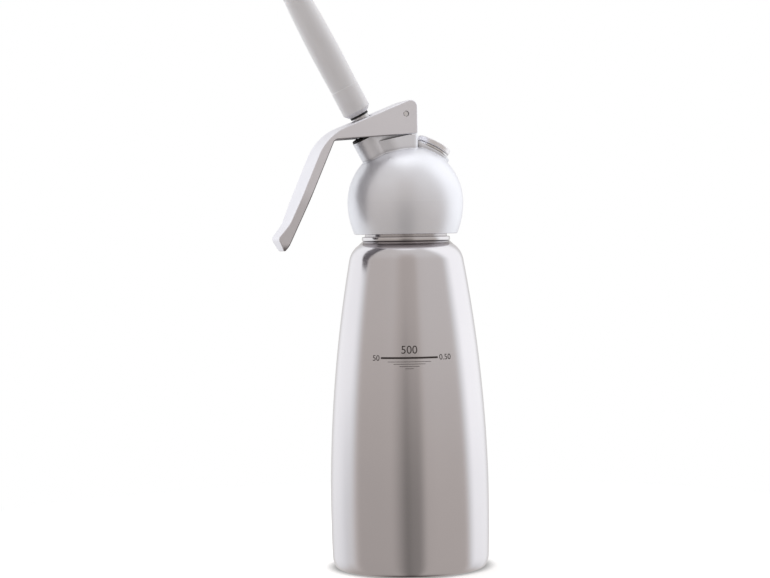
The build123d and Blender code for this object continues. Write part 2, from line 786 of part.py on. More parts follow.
# Hollow piercing pin pressed into the floor of the charger bore
pierce_top = charger_floor + pierce_length
with BuildPart() as piercing_pin:
    with BuildSketch(inlet_section):
        with BuildLine():
            Polyline(
                (gas_hole_radius, charger_floor - pierce_grip),
                (pierce_radius, charger_floor - pierce_grip),
                (pierce_radius, pierce_top - pierce_point),
                (gas_hole_radius, pierce_top),
                close=True,
            )
        make_face()
    revolve(axis=inlet_axis)
piercing_pin.part.label = "piercing_pin"

# Rubber sleeve over the nose, which lets gas into the head and not back
sleeve_end = nose_end - sleeve_wall
with BuildPart() as check_valve:
    tube(inlet_plane, sleeve_end, sleeve_end + sleeve_length, nose_radius + sleeve_wall)
    tube(inlet_plane, nose_end, insert_end, nose_radius, mode=Mode.SUBTRACT)
check_valve.part.label = "check_valve"

# Screw cap: low dome, edge and a hollow shank that clears the piercing pin
cap_curve = (cap_radius**2 + cap_dome**2) / (2 * cap_dome)
cap_gasket_inner = cap_shank_radius + cap_thread_clearance
cap_gasket_outer = cap_gasket_inner + cap_gasket_width
with BuildPart() as inlet_cap:
    with BuildSketch(inlet_section):
        with BuildLine():
            Polyline(
                (0, cap_bottom),
                (cap_radius, cap_bottom),
                (cap_radius, cap_edge_top),
            )
            cap_half_angle = degrees(asin(cap_radius / cap_curve))
            CenterArc(
                (0, cap_edge_top + cap_dome - cap_curve), cap_curve, 90 - cap_half_angle, cap_half_angle
            )
            Line((0, cap_edge_top + cap_dome), (0, cap_bottom))
        make_face()
    revolve(axis=inlet_axis)
    fillet(inlet_cap.edges().filter_by(GeomType.CIRCLE), radius=cap_edge_round)
    tube(inlet_plane, cap_bottom, cap_gasket_top, cap_gasket_outer + cap_thread_clearance, mode=Mode.SUBTRACT)
    tube(inlet_plane, cap_bottom - cap_shank_length, cap_gasket_top, cap_shank_radius)
    tube(
        inlet_plane,
        cap_bottom - cap_shank_length,
        cap_bottom - cap_shank_length + cap_shank_bore_depth,
        cap_shank_bore,
        mode=Mode.SUBTRACT,
    )
inlet_cap.part.label = "inlet_cap"

# Sealing ring under the cap
with BuildPart() as inlet_cap_gasket:
    tube(inlet_plane, insert_face, cap_gasket_top, cap_gasket_outer, cap_gasket_inner)
inlet_cap_gasket.part.label = "inlet_cap_gasket"

os.makedirs("parts", exist_ok=True)
pieces = [
    bottle_shell,
    neck_ring,
    head_gasket,
    head_dome,
    hinge_pin,
    lever,
    valve_stem,
    valve_seal,
    valve_seal_screw,
    stem_guide,
    stem_oring,
    dust_ring,
    valve_spring,
    nozzle_washer,
    nozzle,
    inlet_insert,
    inlet_seal,
    piercing_pin,
    check_valve,
    inlet_cap,
    inlet_cap_gasket,
]
for piece in pieces:
    export_step(piece.part, f"parts/{piece.part.label}.step")

# Places that the joints and mounts use
print("neck foot, rim and head centre", neck_foot_height, rim_height, center_height)
print("pin", pin_offset, pin_height, "valve travel per radian", valve_per_radian)
print("nozzle stations", seat_station, guide_top, boss_top, flange_bottom, flange_top, stem_top, nozzle_tip)
print("inlet stations", inlet_face, insert_face, cap_bottom, cap_edge_top)
print("lever corners", back_corner, bend_corner, flare_corner, tip_corner, tip_end, inner_flare, inner_bend)
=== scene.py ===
import json
import math

import bmesh
import bpy
from mathutils import Matrix, Vector

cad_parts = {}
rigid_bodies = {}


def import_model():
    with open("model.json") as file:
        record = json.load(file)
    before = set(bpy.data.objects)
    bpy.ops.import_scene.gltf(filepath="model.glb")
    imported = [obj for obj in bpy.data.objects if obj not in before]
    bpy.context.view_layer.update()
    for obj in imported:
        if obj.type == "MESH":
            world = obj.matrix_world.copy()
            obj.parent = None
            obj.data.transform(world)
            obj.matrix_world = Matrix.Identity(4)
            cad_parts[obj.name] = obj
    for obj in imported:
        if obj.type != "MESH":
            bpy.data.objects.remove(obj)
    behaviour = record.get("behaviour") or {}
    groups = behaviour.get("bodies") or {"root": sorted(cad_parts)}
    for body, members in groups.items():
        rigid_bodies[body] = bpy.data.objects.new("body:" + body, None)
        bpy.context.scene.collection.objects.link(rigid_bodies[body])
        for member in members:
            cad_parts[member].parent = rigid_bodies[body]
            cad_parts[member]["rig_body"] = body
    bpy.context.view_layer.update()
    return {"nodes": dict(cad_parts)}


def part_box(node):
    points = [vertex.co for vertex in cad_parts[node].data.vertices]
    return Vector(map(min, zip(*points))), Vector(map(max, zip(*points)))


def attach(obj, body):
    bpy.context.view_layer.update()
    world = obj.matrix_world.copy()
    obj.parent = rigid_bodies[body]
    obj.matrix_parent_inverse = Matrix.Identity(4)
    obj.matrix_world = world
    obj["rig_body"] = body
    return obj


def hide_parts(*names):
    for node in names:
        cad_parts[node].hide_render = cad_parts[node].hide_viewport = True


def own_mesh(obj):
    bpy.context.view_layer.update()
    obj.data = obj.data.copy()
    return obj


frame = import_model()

# Bottle
# The bottle is drawn from stainless steel sheet, necked in at its shoulder and brushed while it turns,
# so its brush lines run round it and pull every reflection into a tall soft stripe.
mm = 0.001


def linear(hex_colour):
    """Linear colour of an sRGB hex value."""
    shares = [int(hex_colour[i : i + 2], 16) / 255 for i in (1, 3, 5)]
    return tuple(c / 12.92 if c <= 0.04045 else ((c + 0.055) / 1.055) ** 2.4 for c in shares) + (1.0,)


def add(tree, kind, sockets=None, **settings):
    """Adds a node with its settings. Each socket gets a value, or a link from another node's socket."""
    made = tree.nodes.new(kind)
    for name, value in settings.items():
        setattr(made, name, value)
    for name, value in (sockets or {}).items():
        if isinstance(value, bpy.types.NodeSocket):
            tree.links.new(value, made.inputs[name])
        else:
            made.inputs[name].default_value = value
    return made


def start_finish(name, values):
    """New material with its tree and shader. The shader's own sockets take the values."""
    finish = bpy.data.materials.new(name)
    finish.use_nodes = True
    shader = finish.node_tree.nodes["Principled BSDF"]
    for socket, value in values.items():
        shader.inputs[socket].default_value = value
    return finish, finish.node_tree, shader


# Stainless steel, brushed round and polished: a bright neutral metal with silky upright stripes. The real
# lines are finer than a pixel, so they are drawn 0.7 mm apart and 45 mm long.
brush_length, brush_gap = 45 * mm, 0.7 * mm
noise_span, bump_depth = {"From Min": 0.3, "From Max": 0.7}, 0.05 * mm
brushed_steel, tree, shader = start_finish(
    "brushed_stainless_steel", {"Metallic": 1.0, "Anisotropic": 0.5, "Anisotropic Rotation": 0.25}
)
spot = add(tree, "ShaderNodeTexCoord").outputs["Object"]
stretch = add(
    tree,
    "ShaderNodeMapping",
    {"Vector": spot, "Scale": (1 / brush_length, 1 / brush_length, 1 / brush_gap)},
)
brush = add(tree, "ShaderNodeTexNoise", {"Vector": stretch.outputs["Vector"], "Scale": 1.0, "Detail": 4.0})
cloud = add(tree, "ShaderNodeTexNoise", {"Vector": spot, "Scale": 1 / (35 * mm), "Detail": 2.0})
tone = add(
    tree,
    "ShaderNodeMix",
    {"Factor": cloud.outputs["Fac"], "A": linear("#dddbe0"), "B": linear("#e2e0e4")},
    data_type="RGBA",
)
silk = add(
    tree,
    "ShaderNodeMapRange",
    {"Value": brush.outputs["Fac"], **noise_span, "To Min": 0.17, "To Max": 0.2},
)
scratch = add(
    tree, "ShaderNodeBump", {"Height": brush.outputs["Fac"], "Strength": 0.012, "Distance": bump_depth}
)
around = add(tree, "ShaderNodeTangent", direction_type="RADIAL", axis="Z")
tree.links.new(tone.outputs["Result"], shader.inputs["Base Color"])
tree.links.new(silk.outputs["Result"], shader.inputs["Roughness"])
tree.links.new(scratch.outputs["Normal"], shader.inputs["Normal"])
tree.links.new(around.outputs["Tangent"], shader.inputs["Tangent"])


def new_piece(name, mesh):
    """New object at the origin that shows a mesh."""
    piece = bpy.data.objects.new(name, mesh)
    bpy.context.scene.collection.objects.link(piece)
    return piece


merge_distance, sharp_angle = 0.001 * mm, math.radians(40)


def lathe(name, outline, seat, finish, steps=128):
    """Closed outline of (radius, height) points turned round the axis of its seat."""
    count = len(outline)
    points = []
    for k in range(steps):
        turn = 2 * math.pi * k / steps
        points += [(radius * math.cos(turn), radius * math.sin(turn), height) for radius, height in outline]
    faces = []
    for k in range(steps):
        here, there = k * count, (k + 1) % steps * count
        for i in range(count):
            j = (i + 1) % count
            faces.append((here + i, there + i, there + j, here + j))
    mesh = bpy.data.meshes.new(name)
    mesh.from_pydata(points, [], faces)
    mesh.transform(seat)
    merge = bmesh.new()
    merge.from_mesh(mesh)
    bmesh.ops.remove_doubles(merge, verts=merge.verts[:], dist=merge_distance)
    bmesh.ops.recalc_face_normals(merge, faces=merge.faces[:])
    merge.to_mesh(mesh)
    merge.free()
    mesh.shade_smooth()
    mesh.set_sharp_from_angle(angle=sharp_angle)
    mesh.materials.append(finish)
    return new_piece(name, mesh)


# The side is one long arc, widest low down, that runs into a round shoulder and a straight neck. The foot
# has an oval corner, and the floor is dished.
bottle_radius, bottle_widest = 41.1 * mm, 31.0 * mm
shoulder_radius, shoulder_height, shoulder_round = 29.6 * mm, 159.3 * mm, 12.0 * mm
neck_radius, bottle_wall = 20.4 * mm, 0.9 * mm
foot_tuck, foot_rise = 2.6 * mm, 6.5 * mm
dish_radius, dish_depth = 28.0 * mm, 0.8 * mm
foot_steps, wall_steps, shoulder_steps, dish_steps, round_steps = 16, 56, 24, 10, 256
upright_seat = Matrix.Identity(4)
bottle_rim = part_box("bottle_shell")[1].z
wall_climb, wall_lean = shoulder_height - bottle_widest, bottle_radius - shoulder_radius
wall_curve = (wall_climb**2 + wall_lean**2) / (2 * wall_lean)
wall_centre = (bottle_radius - wall_curve, bottle_widest)
shoulder_angle = math.asin(wall_climb / wall_curve)
shoulder_centre = (
    wall_centre[0] + (wall_curve - shoulder_round) * math.cos(shoulder_angle),
    bottle_widest + (wall_curve - shoulder_round) * math.sin(shoulder_angle),
)
foot_angle = math.asin((foot_rise - bottle_widest) / wall_curve)


def bend(centre, radius, first, last, steps):
    """Points of an arc from one angle to another, both in radians."""
    turns = [first + (last - first) * k / steps for k in range(steps + 1)]
    return [(centre[0] + radius * math.cos(turn), centre[1] + radius * math.sin(turn)) for turn in turns]


def bottle_side(inset, floor):
    """Points up the bottle's side, from its floor to its rim, a given depth under its skin."""
    foot = []
    for k in range(foot_steps):
        turn = math.pi / 2 * k / foot_steps
        height = floor + (foot_rise - floor) * (1 - math.cos(turn))
        straight = wall_centre[0] + math.sqrt((wall_curve - inset) ** 2 - (height - bottle_widest) ** 2)
        foot.append((straight - foot_tuck * (1 - math.sin(turn)), height))
    neck = neck_radius - inset
    neck_angle = math.acos((neck - shoulder_centre[0]) / (shoulder_round - inset))
    return [
        *foot,
        *bend(wall_centre, wall_curve - inset, foot_angle, shoulder_angle, wall_steps),
        *bend(shoulder_centre, shoulder_round - inset, shoulder_angle, neck_angle, shoulder_steps)[1:],
        (neck, bottle_rim),
    ]


dish_curve = (dish_radius**2 + dish_depth**2) / (2 * dish_depth)
dish_centre = (0.0, dish_depth - dish_curve)
dish_angle = math.asin(dish_radius / dish_curve)
inner_floor = dish_depth + bottle_wall
drawn_bottle = lathe(
    "drawn_bottle",
    [
        *bend(dish_centre, dish_curve, math.pi / 2, math.pi / 2 - dish_angle, dish_steps),
        *bottle_side(0.0, 0.0),
        *reversed(bottle_side(bottle_wall, inner_floor)),
        (0.0, inner_floor),
    ],
    upright_seat,
    brushed_steel,
    steps=round_steps,
)
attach(drawn_bottle, "bottle")
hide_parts("bottle_shell")

# Fill mark
# A dark mark burnt into the steel by a laser shows how far the bottle may be filled: a thick line, thin
# lines that shorten below it, and plain numbers for the level in three units.
mark_heading, mark_height = math.radians(-105.7), 110.4 * mm
mark_thickness, mark_lift = 0.05 * mm, 0.01 * mm
mark_reach, mark_slice, line_points = 30 * mm, 0.8 * mm, 37
# Each row of lines: count, first length, how much shorter each next one is, thickness, first height, drop.
mark_lines = (
    (1, 29.4 * mm, 0.0, 0.95 * mm, 0.0, 0.0),
    (4, 22.0 * mm, 6.0 * mm, 0.22 * mm, -1.95 * mm, 1.15 * mm),
)
# Each number: letter height, place across the mark and height of its foot.
mark_words = (
    ("500", 4.0 * mm, 0.0, 2.1 * mm),
    ("50", 2.8 * mm, -17.3 * mm, -1.4 * mm),
    ("0.50", 2.8 * mm, 18.9 * mm, -1.3 * mm),
)

# Laser-darkened steel: a matt brown-black oxide, a little lighter where the beam was weaker.
burnt_steel, tree, shader = start_finish("laser_burnt_steel", {"Metallic": 0.3, "Roughness": 0.55})
spot = add(tree, "ShaderNodeTexCoord").outputs["Object"]
beam = add(tree, "ShaderNodeTexNoise", {"Vector": spot, "Scale": 1 / (1.5 * mm), "Detail": 2.0})
tone = add(
    tree,
    "ShaderNodeMix",
    {"Factor": beam.outputs["Fac"], "A": linear("#2e2827"), "B": linear("#4a4241")},
    data_type="RGBA",
)
tree.links.new(tone.outputs["Result"], shader.inputs["Base Color"])


def start_tree(name, **inputs):
    """New geometry tree with named inputs. Gives the tree and the sockets of its inputs."""
    tree = bpy.data.node_groups.new(name, "GeometryNodeTree")
    for label, kind in inputs.items():
        tree.interface.new_socket(label.replace("_", " "), in_out="INPUT", socket_type="NodeSocket" + kind)
    tree.interface.new_socket("Geometry", in_out="OUTPUT", socket_type="NodeSocketGeometry")
    return tree, add(tree, "NodeGroupInput").outputs


def end_tree(tree, geometry, finish):
    """Ends a geometry tree: real meshes, smooth faces and one finish."""
    real = add(tree, "GeometryNodeRealizeInstances", {"Geometry": geometry})
    smooth = add(tree, "GeometryNodeSetShadeSmooth", {"Geometry": real.outputs["Geometry"]})
    done = add(
        tree, "GeometryNodeSetMaterial", {"Geometry": smooth.outputs["Geometry"], "Material": finish}
    )
    add(tree, "NodeGroupOutput", {"Geometry": done.outputs["Geometry"]})


def plain_mesh(piece):
    """Plain mesh of what an object shows, with its modifiers worked in."""
    bpy.context.view_layer.update()
    return bpy.data.meshes.new_from_object(piece.evaluated_get(bpy.context.evaluated_depsgraph_get()))


def grow(name, tree, **sizes):
    """Piece that a geometry tree makes from its named sizes, as a plain mesh."""
    piece = new_piece(name, bpy.data.meshes.new(name))
    growth = piece.modifiers.new(name, "NODES")
    growth.node_group = tree
    for socket in tree.interface.items_tree:
        if socket.in_out == "INPUT":
            growth[socket.identifier] = sizes[socket.name.replace(" ", "_")]
    mesh = plain_mesh(piece)
    piece.modifiers.remove(growth)
    piece.data = mesh
    return piece


lines_tree, size = start_tree(
    "fill_lines",
    Count="Int",
    First_Length="Float",
    Shorter_By="Float",
    Thickness="Float",
    First_Height="Float",
    Drop="Float",
)
start = add(lines_tree, "ShaderNodeCombineXYZ", {"Y": size["First Height"]})
fall = add(lines_tree, "ShaderNodeMath", {0: 0.0, 1: size["Drop"]}, operation="SUBTRACT")
step = add(lines_tree, "ShaderNodeCombineXYZ", {"Y": fall.outputs["Value"]})
ladder = add(
    lines_tree,
    "GeometryNodeMeshLine",
    {"Count": size["Count"], "Start Location": start.outputs["Vector"], "Offset": step.outputs["Vector"]},
)
number = add(lines_tree, "GeometryNodeInputIndex")
cut = add(
    lines_tree, "ShaderNodeMath", {0: number.outputs["Index"], 1: size["Shorter By"]}, operation="MULTIPLY"
)
length = add(
    lines_tree, "ShaderNodeMath", {0: size["First Length"], 1: cut.outputs["Value"]}, operation="SUBTRACT"
)
stretch = add(lines_tree, "ShaderNodeCombineXYZ", {"X": length.outputs["Value"], "Y": 1.0, "Z": 1.0})
line = add(
    lines_tree,
    "GeometryNodeMeshGrid",
    {"Size X": 1.0, "Size Y": size["Thickness"], "Vertices X": line_points, "Vertices Y": 2},
)
rungs = add(
    lines_tree,
    "GeometryNodeInstanceOnPoints",
    {"Points": ladder.outputs["Mesh"], "Instance": line.outputs["Mesh"], "Scale": stretch.outputs["Vector"]},
)
end_tree(lines_tree, rungs.outputs["Instances"], burnt_steel)


def flat_words(words, height, across, foot):
    """Flat mesh of a word of a given letter height, centred on a point of the mark."""
    text = bpy.data.curves.new("words", "FONT")
    text.body = words
    writing = new_piece("words", text)
    mesh = plain_mesh(writing)
    bpy.data.objects.remove(writing)
    low = [min(v.co[i] for v in mesh.vertices) for i in (0, 1)]
    high = [max(v.co[i] for v in mesh.vertices) for i in (0, 1)]
    scale = height / (high[1] - low[1])
    centre = (low[0] + high[0]) / 2
    to_start = Matrix.Translation((-centre, -low[1], 0))
    mesh.transform(Matrix.Translation((across, foot, 0)) @ Matrix.Scale(scale, 4) @ to_start)
    return mesh


flat_mark = bmesh.new()
for count, length, shorter, thickness, height, drop in mark_lines:
    lines = grow(
        "fill_lines",
        lines_tree,
        Count=count,
        First_Length=length,
        Shorter_By=shorter,
        Thickness=thickness,
        First_Height=height,
        Drop=drop,
    )
    flat_mark.from_mesh(lines.data)
    bpy.data.objects.remove(lines)
for words in mark_words:
    flat_mark.from_mesh(flat_words(*words))
# Upright slices let the flat mark bend round the bottle. Each corner is then laid on the steel.
for k in range(int(2 * mark_reach / mark_slice)):
    everything = flat_mark.verts[:] + flat_mark.edges[:] + flat_mark.faces[:]
    bmesh.ops.bisect_plane(
        flat_mark, geom=everything, plane_co=(k * mark_slice - mark_reach, 0, 0), plane_no=(1, 0, 0)
    )
bpy.context.view_layer.update()
bottle = drawn_bottle.evaluated_get(bpy.context.evaluated_depsgraph_get())
mark_radius = bottle.ray_cast((1, 0, mark_height), (-1, 0, 0))[1].x
for corner in flat_mark.verts:
    heading = mark_heading + corner.co.x / mark_radius
    outside = Vector((math.cos(heading), math.sin(heading), 0))
    start = outside + Vector((0, 0, mark_height + corner.co.y))
    corner.co = bottle.ray_cast(start, -outside)[1] + outside * mark_lift
mark_mesh = bpy.data.meshes.new("fill_mark")
flat_mark.to_mesh(mark_mesh)
flat_mark.free()
mark_mesh.materials.clear()
mark_mesh.materials.append(burnt_steel)
fill_mark = new_piece("fill_mark", mark_mesh)
film = fill_mark.modifiers.new("film", "SOLIDIFY")
film.thickness = mark_thickness
film.offset = 1.0
mark_mesh = plain_mesh(fill_mark)
fill_mark.modifiers.remove(film)
fill_mark.data = mark_mesh
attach(fill_mark, "bottle")

# Neck ring
# A turned steel ring is pressed round the neck tube and carries the head's coarse rolled thread. Its stop
# bead shows as a bright band under the head, and a thin skirt closes it on the bottle's shoulder.
neck_inner, neck_outer, neck_root = 20.4 * mm, 22.0 * mm, 21.3 * mm
neck_foot, neck_top = (corner.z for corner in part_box("neck_ring"))
bead_outer, bead_bottom, bead_top = 22.9 * mm, neck_foot + 0.2 * mm, neck_foot + 2.4 * mm
bead_middle, bead_half = (bead_bottom + bead_top) / 2, (bead_top - bead_bottom) / 2
bead_step, bead_steps, bead_crown = 0.1 * mm, 10, 0.3
skirt_outer, skirt_bottom, skirt_top, skirt_edge = 26.2 * mm, neck_foot - 3.3 * mm, 22.5 * mm, 1.2 * mm
top_edge_height, top_edge_width = 0.7 * mm, 0.5 * mm
thread_pitch, thread_turns, thread_flank, thread_start = 3.0 * mm, 4.2, 0.95 * mm, 2.2 * mm
thread_points, thread_sides, thread_ending = 320, 10, 30.0


def seat_spot(tree, seat):
    """Object coordinates along the axes of a seat, so that a pattern follows a leaning axis."""
    home = seat.inverted()
    turned = add(
        tree,
        "ShaderNodeMapping",
        {
            "Vector": add(tree, "ShaderNodeTexCoord").outputs["Object"],
            "Location": home.to_translation(),
            "Rotation": home.to_euler(),
        },
    )
    return turned.outputs["Vector"]


def turned_finish(name, dark, pale, roughness, seat, metallic=1.0):
    """Turned metal or plastic: fine rings left by the tool, drawn 0.4 mm apart so that they show."""
    finish, tree, shader = start_finish(name, {"Metallic": metallic})
    parts = add(tree, "ShaderNodeSeparateXYZ", {"Vector": seat_spot(tree, seat)})
    flat = add(tree, "ShaderNodeCombineXYZ", {"X": parts.outputs["X"], "Y": parts.outputs["Y"]})
    radius = add(tree, "ShaderNodeVectorMath", {0: flat.outputs["Vector"]}, operation="LENGTH")
    section = add(tree, "ShaderNodeCombineXYZ", {"X": radius.outputs["Value"], "Z": parts.outputs["Z"]})
    rings = add(
        tree,
        "ShaderNodeTexNoise",
        {"Vector": section.outputs["Vector"], "Scale": 1 / (0.4 * mm), "Detail": 3.0},
    )
    tone = add(
        tree,
        "ShaderNodeMix",
        {"Factor": rings.outputs["Fac"], "A": linear(dark), "B": linear(pale)},
        data_type="RGBA",
    )
    polish = add(
        tree,
        "ShaderNodeMapRange",
        {
            "Value": rings.outputs["Fac"],
            **noise_span,
            "To Min": roughness * 0.85,
            "To Max": roughness * 1.15,
        },
    )
    groove = add(
        tree, "ShaderNodeBump", {"Height": rings.outputs["Fac"], "Strength": 0.05, "Distance": bump_depth}
    )
    tree.links.new(tone.outputs["Result"], shader.inputs["Base Color"])
    tree.links.new(polish.outputs["Result"], shader.inputs["Roughness"])
    tree.links.new(groove.outputs["Normal"], shader.inputs["Normal"])
    return finish


# Turned stainless steel: brighter than the brushed bottle, with fine rings from the lathe. Within a few
# millimetres above and below the bead it is painted a duller grey, as painted shade under the head's rim and
# the bead.
bead_shade_reach = 5 * mm
neck_steel = turned_finish("turned_neck_steel", "#d6d4d7", "#e0dee1", 0.14, upright_seat)
tree = neck_steel.node_tree
shader = tree.nodes["Principled BSDF"]
tone = shader.inputs["Base Color"].links[0].from_socket
height = add(tree, "ShaderNodeSeparateXYZ", {"Vector": add(tree, "ShaderNodeTexCoord").outputs["Object"]})
offset = add(tree, "ShaderNodeMath", {0: height.outputs["Z"], 1: bead_middle}, operation="SUBTRACT")
distance = add(tree, "ShaderNodeMath", {0: offset.outputs["Value"]}, operation="ABSOLUTE")
on_bead = add(tree, "ShaderNodeMath", {0: distance.outputs["Value"], 1: bead_half}, operation="LESS_THAN")
beyond = add(
    tree,
    "ShaderNodeMapRange",
    {"Value": distance.outputs["Value"], "From Min": bead_half, "From Max": bead_half + bead_shade_reach},
)
clear_of_shade = add(
    tree, "ShaderNodeMath", {0: on_bead.outputs["Value"], 1: beyond.outputs["Result"]}, operation="MAXIMUM"
)
# Painted shade: just above and below the bead the steel is mixed to a duller grey.
bead_shade = add(
    tree,
    "ShaderNodeMix",
    {"Factor": clear_of_shade.outputs["Value"], "A": linear("#bdbabc"), "B": tone},
    data_type="RGBA",
)
tree.links.new(bead_shade.outputs["Result"], shader.inputs["Base Color"])

bead_outline = []
for k in range(bead_steps + 1):
    turn = math.pi * (k / bead_steps - 0.5)
    crown = max(0.0, math.cos(turn)) ** bead_crown
    bead_outline.append(
        (neck_outer + (bead_outer - neck_outer) * crown, bead_middle + bead_half * math.sin(turn))
    )
neck_ring = lathe(
    "threaded_neck_ring",
    [
        (neck_inner, neck_foot),
        (skirt_outer - skirt_edge, skirt_bottom),
        (skirt_outer, skirt_bottom),
        (skirt_top, bead_bottom - bead_step),
        *bead_outline,
        (neck_root, bead_top + bead_step),
        (neck_root, neck_top - top_edge_height),
        (neck_root - top_edge_width, neck_top),
        (neck_inner, neck_top),
    ],
    upright_seat,
    neck_steel,
)


def start_coil(tree, points, turns, radius):
    """Line to wind round the upright axis: its curve, share along, turns so far and place round the axis."""
    line = add(tree, "GeometryNodeMeshLine", {"Count": points})
    path = add(tree, "GeometryNodeMeshToCurve", {"Mesh": line.outputs["Mesh"]})
    share = add(tree, "GeometryNodeSplineParameter").outputs["Factor"]
    turned = add(tree, "ShaderNodeMath", {0: share, 1: turns}, operation="MULTIPLY").outputs["Value"]
    angle = add(tree, "ShaderNodeMath", {0: turned, 1: 2 * math.pi}, operation="MULTIPLY")
    place = {}
    for axis, wave in (("X", "COSINE"), ("Y", "SINE")):
        swing = add(tree, "ShaderNodeMath", {0: angle.outputs["Value"]}, operation=wave)
        reach = add(tree, "ShaderNodeMath", {0: swing.outputs["Value"], 1: radius}, operation="MULTIPLY")
        place[axis] = reach.outputs["Value"]
    return path.outputs["Curve"], share, turned, place


def end_coil(tree, curve, place, climb):
    """Lays the line along its helix, at the height that climb gives."""
    helix = add(tree, "ShaderNodeCombineXYZ", {**place, "Z": climb})
    wound = add(tree, "GeometryNodeSetPosition", {"Geometry": curve, "Position": helix.outputs["Vector"]})
    return wound.outputs["Geometry"]


thread_tree, size = start_tree(
    "rolled_thread",
    Root_Radius="Float",
    Depth="Float",
    Flank="Float",
    Pitch="Float",
    Turns="Float",
    Foot="Float",
)
curve, share, turned, place = start_coil(thread_tree, thread_points, size["Turns"], size["Root Radius"])
climb = add(
    thread_tree,
    "ShaderNodeMath",
    {0: turned, 1: size["Pitch"], 2: size["Foot"]},
    operation="MULTIPLY_ADD",
)
wound = end_coil(thread_tree, curve, place, climb.outputs["Value"])
upright = add(thread_tree, "GeometryNodeSetCurveNormal", {"Curve": wound}, mode="Z_UP")
section = add(thread_tree, "GeometryNodeCurvePrimitiveCircle", {"Resolution": thread_sides, "Radius": 1.0})
oval = add(thread_tree, "ShaderNodeCombineXYZ", {"X": size["Depth"], "Y": size["Flank"], "Z": 1.0})
ridge = add(
    thread_tree,
    "GeometryNodeTransform",
    {"Geometry": section.outputs["Curve"], "Scale": oval.outputs["Vector"]},
)
# The ridge keeps its full height nearly to its ends and runs out there.
middle = add(thread_tree, "ShaderNodeMath", {0: share, 1: 2.0, 2: -1.0}, operation="MULTIPLY_ADD")
away = add(thread_tree, "ShaderNodeMath", {0: middle.outputs["Value"]}, operation="ABSOLUTE")
ending = add(thread_tree, "ShaderNodeMath", {0: away.outputs["Value"], 1: thread_ending}, operation="POWER")
runout = add(thread_tree, "ShaderNodeMath", {0: 1.0, 1: ending.outputs["Value"]}, operation="SUBTRACT")
rolled = add(
    thread_tree,
    "GeometryNodeCurveToMesh",
    {
        "Curve": upright.outputs["Curve"],
        "Profile Curve": ridge.outputs["Geometry"],
        "Scale": runout.outputs["Value"],
        "Fill Caps": True,
    },
)
end_tree(thread_tree, rolled.outputs["Mesh"], neck_steel)
neck_thread = grow(
    "neck_thread",
    thread_tree,
    Root_Radius=neck_root,
    Depth=neck_outer - neck_root,
    Flank=thread_flank,
    Pitch=thread_pitch,
    Turns=thread_turns,
    Foot=bead_top + thread_start,
)
for piece in (neck_ring, neck_thread):
    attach(piece, "bottle")
    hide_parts("neck_ring")

# Head gasket
# A flat silicone ring lies on the bottle's rim and seals the head when it is screwed down. It is moulded,
# with rounded edges.
def rubber_finish(name, dark, pale, roughness):
    """Moulded rubber: a matt skin with a fine grain, drawn 0.6 mm wide so that it shows."""
    finish, tree, shader = start_finish(name, {"IOR": 1.45})
    spot = add(tree, "ShaderNodeTexCoord").outputs["Object"]
    grain = add(tree, "ShaderNodeTexNoise", {"Vector": spot, "Scale": 1 / (0.6 * mm), "Detail": 3.0})
    bloom = add(tree, "ShaderNodeTexNoise", {"Vector": spot, "Scale": 1 / (4 * mm), "Detail": 2.0})
    tone = add(
        tree,
        "ShaderNodeMix",
        {"Factor": bloom.outputs["Fac"], "A": linear(dark), "B": linear(pale)},
        data_type="RGBA",
    )
    skin = add(
        tree,
        "ShaderNodeMapRange",
        {
            "Value": grain.outputs["Fac"],
            **noise_span,
            "To Min": roughness - 0.06,
            "To Max": roughness + 0.06,
        },
    )
    texture = add(
        tree, "ShaderNodeBump", {"Height": grain.outputs["Fac"], "Strength": 0.15, "Distance": bump_depth}
    )
    tree.links.new(tone.outputs["Result"], shader.inputs["Base Color"])
    tree.links.new(skin.outputs["Result"], shader.inputs["Roughness"])
    tree.links.new(texture.outputs["Normal"], shader.inputs["Normal"])
    return finish


# Moulded silicone: a dull brick red with a faint bloom.
silicone = rubber_finish("moulded_silicone", "#9c3a2c", "#a94636", 0.55)
ring_steps, ring_corner_steps = 96, 4
ring_tree, size = start_tree(
    "moulded_ring",
    Inner="Float",
    Outer="Float",
    Bottom="Float",
    Top="Float",
    Edge_Round="Float",
    Finish="Material",
)
across = add(ring_tree, "ShaderNodeMath", {0: size["Inner"], 1: size["Outer"]})
middle = add(ring_tree, "ShaderNodeMath", {0: across.outputs["Value"], 1: 0.5}, operation="MULTIPLY")
wall = add(ring_tree, "ShaderNodeMath", {0: size["Outer"], 1: size["Inner"]}, operation="SUBTRACT")
level = add(ring_tree, "ShaderNodeMath", {0: size["Bottom"], 1: size["Top"]})
height = add(ring_tree, "ShaderNodeMath", {0: level.outputs["Value"], 1: 0.5}, operation="MULTIPLY")
depth = add(ring_tree, "ShaderNodeMath", {0: size["Top"], 1: size["Bottom"]}, operation="SUBTRACT")
path = add(
    ring_tree,
    "GeometryNodeCurvePrimitiveCircle",
    {"Resolution": ring_steps, "Radius": middle.outputs["Value"]},
)
block = add(
    ring_tree,
    "GeometryNodeCurvePrimitiveQuadrilateral",
    {"Width": wall.outputs["Value"], "Height": depth.outputs["Value"]},
)
soft = add(
    ring_tree,
    "GeometryNodeFilletCurve",
    {
        "Curve": block.outputs["Curve"],
        "Count": ring_corner_steps,
        "Radius": size["Edge Round"],
        "Limit Radius": True,
    },
    mode="POLY",
)
swept = add(
    ring_tree,
    "GeometryNodeCurveToMesh",
    {"Curve": path.outputs["Curve"], "Profile Curve": soft.outputs["Curve"]},
)
lift = add(ring_tree, "ShaderNodeCombineXYZ", {"Z": height.outputs["Value"]})
lifted = add(
    ring_tree,
    "GeometryNodeTransform",
    {"Geometry": swept.outputs["Mesh"], "Translation": lift.outputs["Vector"]},
)
end_tree(ring_tree, lifted.outputs["Geometry"], size["Finish"])


